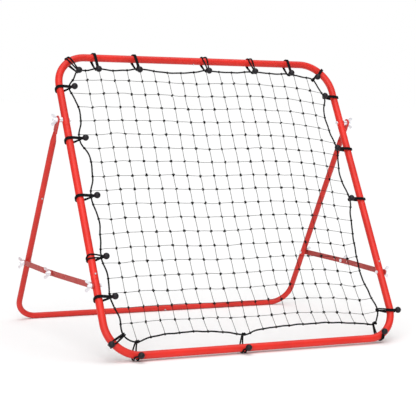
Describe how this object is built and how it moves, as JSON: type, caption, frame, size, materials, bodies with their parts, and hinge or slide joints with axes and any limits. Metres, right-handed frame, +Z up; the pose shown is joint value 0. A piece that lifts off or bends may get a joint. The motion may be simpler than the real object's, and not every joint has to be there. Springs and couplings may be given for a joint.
{
  "type": "pitch back rebounder",
  "caption": "Free-standing ball rebounder: a leaning tube frame holding a knotted net on bungee ties, hinged to a rear U frame with folding side braces.",
  "frame": {"origin": "on the floor, under the middle of the whole object's box", "axes": "+X right seen from the front, +Y towards the rear frame, +Z up"},
  "size_m": [1.0466, 0.7556, 0.8441],
  "materials": {
    "front_paint": "gloss red powder coat on steel tube",
    "rear_paint": "gloss red powder coat on thinner steel tube",
    "brace_paint": "satin red paint on flat steel strip",
    "zinc_plate": "bright zinc plated fasteners",
    "button_steel": "plated spring steel snap button",
    "net_twine": "black knotted braided twine",
    "border_rope": "black twisted rope",
    "tie_cord": "black braided elastic cord",
    "tie_ball": "black moulded plastic balls"
  },
  "bodies": {
    "front_frame": {"top_corner_tube_left": "front_paint", "top_corner_tube_right": "front_paint", "side_tube_left": "front_paint", "side_tube_right": "front_paint", "bottom_corner_tube_left": "front_paint", "bottom_corner_tube_right": "front_paint", "pivot_bolt_left": "zinc_plate", "pivot_bolt_right": "zinc_plate", "pivot_spacer_left": "zinc_plate", "pivot_spacer_right": "zinc_plate", "front_brace_bolt_left": "zinc_plate", "front_brace_bolt_right": "zinc_plate", "net": "net_twine", "border_rope": "border_rope", "tie_cords_top": "tie_cord", "tie_cords_right": "tie_cord", "tie_cords_bottom": "tie_cord", "tie_cords_left": "tie_cord", "tie_balls_top": "tie_ball", "tie_balls_right": "tie_ball", "tie_balls_bottom": "tie_ball", "tie_balls_left": "tie_ball"},
    "rear_frame": {"upper_leg_tube_left": "rear_paint", "upper_leg_tube_right": "rear_paint", "middle_leg_tube_left": "rear_paint", "middle_leg_tube_right": "rear_paint", "rear_corner_tube_left": "rear_paint", "rear_corner_tube_right": "rear_paint", "rear_brace_bolt_left": "zinc_plate", "rear_brace_bolt_right": "zinc_plate"},
    "front_bar_left": {"front_brace_bar_left": "brace_paint", "mid_brace_bolt_left": "zinc_plate"},
    "rear_bar_left": {"rear_brace_bar_left": "brace_paint", "mid_brace_bolt_end_left": "zinc_plate"},
    "pivot_wing_nut_left": {"pivot_wing_nut_left": "zinc_plate"},
    "front_brace_wing_nut_left": {"front_brace_wing_nut_left": "zinc_plate"},
    "rear_brace_wing_nut_left": {"rear_brace_wing_nut_left": "zinc_plate"},
    "mid_brace_wing_nut_left": {"mid_brace_wing_nut_left": "zinc_plate"},
    "front_bar_right": {"front_brace_bar_right": "brace_paint", "mid_brace_bolt_right": "zinc_plate"},
    "rear_bar_right": {"rear_brace_bar_right": "brace_paint", "mid_brace_bolt_end_right": "zinc_plate"},
    "pivot_wing_nut_right": {"pivot_wing_nut_right": "zinc_plate"},
    "front_brace_wing_nut_right": {"front_brace_wing_nut_right": "zinc_plate"},
    "rear_brace_wing_nut_right": {"rear_brace_wing_nut_right": "zinc_plate"},
    "mid_brace_wing_nut_right": {"mid_brace_wing_nut_right": "zinc_plate"},
    "side_tube_button_left": {"side_tube_button_left": "button_steel"},
    "lower_leg_button_left": {"lower_leg_button_left": "button_steel"},
    "upper_leg_button_left": {"upper_leg_button_left": "button_steel"},
    "side_tube_button_right": {"side_tube_button_right": "button_steel"},
    "lower_leg_button_right": {"lower_leg_button_right": "button_steel"},
    "upper_leg_button_right": {"upper_leg_button_right": "button_steel"},
    "top_bar_button": {"top_bar_button": "button_steel"},
    "bottom_bar_button": {"bottom_bar_button": "button_steel"},
    "rear_bar_button": {"rear_bar_button": "button_steel"}
  },
  "joints": [
    {"name": "rear_frame_fold", "type": "hinge", "parent": "front_frame", "child": "rear_frame", "pos_m": [0, 0.02076, 0.64499], "axis": [-1, 0, 0], "range_deg": [0, 50]},
    {"name": "front_bar_swing_left", "type": "hinge", "parent": "front_frame", "child": "front_bar_left", "pos_m": [-0.4817, -0.23862, 0.19776], "axis": [1, 0, 0], "range_deg": [0, 63.5]},
    {"name": "rear_bar_swing_left", "type": "hinge", "parent": "rear_frame", "child": "rear_bar_left", "pos_m": [-0.50375, 0.26704, 0.19497], "axis": [-1, 0, 0], "range_deg": [0, 61]},
    {"name": "pivot_nut_turn_left", "type": "hinge", "parent": "front_frame", "child": "pivot_wing_nut_left", "pos_m": [-0.5, 0.02076, 0.64499], "axis": [-1, 0, 0], "continuous": true},
    {"name": "front_brace_nut_turn_left", "type": "hinge", "parent": "front_frame", "child": "front_brace_wing_nut_left", "pos_m": [-0.487, -0.23862, 0.19776], "axis": [-1, 0, 0], "continuous": true},
    {"name": "rear_brace_nut_turn_left", "type": "hinge", "parent": "rear_frame", "child": "rear_brace_wing_nut_left", "pos_m": [-0.509, 0.26704, 0.19497], "axis": [-1, 0, 0], "continuous": true},
    {"name": "mid_brace_nut_turn_left", "type": "hinge", "parent": "rear_bar_left", "child": "mid_brace_wing_nut_left", "pos_m": [-0.509, 0.03305, 0.19626], "axis": [-1, 0, 0], "continuous": true},
    {"name": "front_bar_swing_right", "type": "hinge", "parent": "front_frame", "child": "front_bar_right", "pos_m": [0.4817, -0.23862, 0.19776], "axis": [1, 0, 0], "range_deg": [0, 63.5]},
    {"name": "rear_bar_swing_right", "type": "hinge", "parent": "rear_frame", "child": "rear_bar_right", "pos_m": [0.50375, 0.26704, 0.19497], "axis": [-1, 0, 0], "range_deg": [0, 61]},
    {"name": "pivot_nut_turn_right", "type": "hinge", "parent": "front_frame", "child": "pivot_wing_nut_right", "pos_m": [0.5, 0.02076, 0.64499], "axis": [1, 0, 0], "continuous": true},
    {"name": "front_brace_nut_turn_right", "type": "hinge", "parent": "front_frame", "child": "front_brace_wing_nut_right", "pos_m": [0.487, -0.23862, 0.19776], "axis": [1, 0, 0], "continuous": true},
    {"name": "rear_brace_nut_turn_right", "type": "hinge", "parent": "rear_frame", "child": "rear_brace_wing_nut_right", "pos_m": [0.509, 0.26704, 0.19497], "axis": [1, 0, 0], "continuous": true},
    {"name": "mid_brace_nut_turn_right", "type": "hinge", "parent": "rear_bar_right", "child": "mid_brace_wing_nut_right", "pos_m": [0.509, 0.03305, 0.19626], "axis": [1, 0, 0], "continuous": true},
    {"name": "side_tube_button_left_press", "type": "slide", "parent": "front_frame", "child": "side_tube_button_left", "axis": [0, 0.865, -0.5017], "range_m": [0, 0.0027], "stiffness_N_per_m": 600, "springref_m": -0.003},
    {"name": "lower_leg_button_left_press", "type": "slide", "parent": "rear_frame", "child": "lower_leg_button_left", "axis": [0, -0.8772, -0.4801], "range_m": [0, 0.0027], "stiffness_N_per_m": 600, "springref_m": -0.003},
    {"name": "upper_leg_button_left_press", "type": "slide", "parent": "rear_frame", "child": "upper_leg_button_left", "axis": [0, 0.8772, 0.4801], "range_m": [0, 0.0027], "stiffness_N_per_m": 600, "springref_m": -0.003},
    {"name": "side_tube_button_right_press", "type": "slide", "parent": "front_frame", "child": "side_tube_button_right", "axis": [0, 0.865, -0.5017], "range_m": [0, 0.0027], "stiffness_N_per_m": 600, "springref_m": -0.003},
    {"name": "lower_leg_button_right_press", "type": "slide", "parent": "rear_frame", "child": "lower_leg_button_right", "axis": [0, -0.8772, -0.4801], "range_m": [0, 0.0027], "stiffness_N_per_m": 600, "springref_m": -0.003},
    {"name": "upper_leg_button_right_press", "type": "slide", "parent": "rear_frame", "child": "upper_leg_button_right", "axis": [0, -0.8772, -0.4801], "range_m": [0, 0.0027], "stiffness_N_per_m": 600, "springref_m": -0.003},
    {"name": "top_bar_button_press", "type": "slide", "parent": "front_frame", "child": "top_bar_button", "axis": [0, 0.5017, 0.865], "range_m": [0, 0.0027], "stiffness_N_per_m": 600, "springref_m": -0.003},
    {"name": "bottom_bar_button_press", "type": "slide", "parent": "front_frame", "child": "bottom_bar_button", "axis": [0, -0.865, 0.5017], "range_m": [0, 0.0027], "stiffness_N_per_m": 600, "springref_m": -0.003},
    {"name": "rear_bar_button_press", "type": "slide", "parent": "rear_frame", "child": "rear_bar_button", "axis": [0, 0.8772, 0.4801], "range_m": [0, 0.0027], "stiffness_N_per_m": 600, "springref_m": -0.003}
  ],
  "couplings": [
    {"joint": "front_bar_swing_left", "follows": "rear_frame_fold", "ratio": 1.27},
    {"joint": "rear_bar_swing_left", "follows": "rear_frame_fold", "ratio": 1.22},
    {"joint": "front_bar_swing_right", "follows": "rear_frame_fold", "ratio": 1.27},
    {"joint": "rear_bar_swing_right", "follows": "rear_frame_fold", "ratio": 1.22}
  ]
}
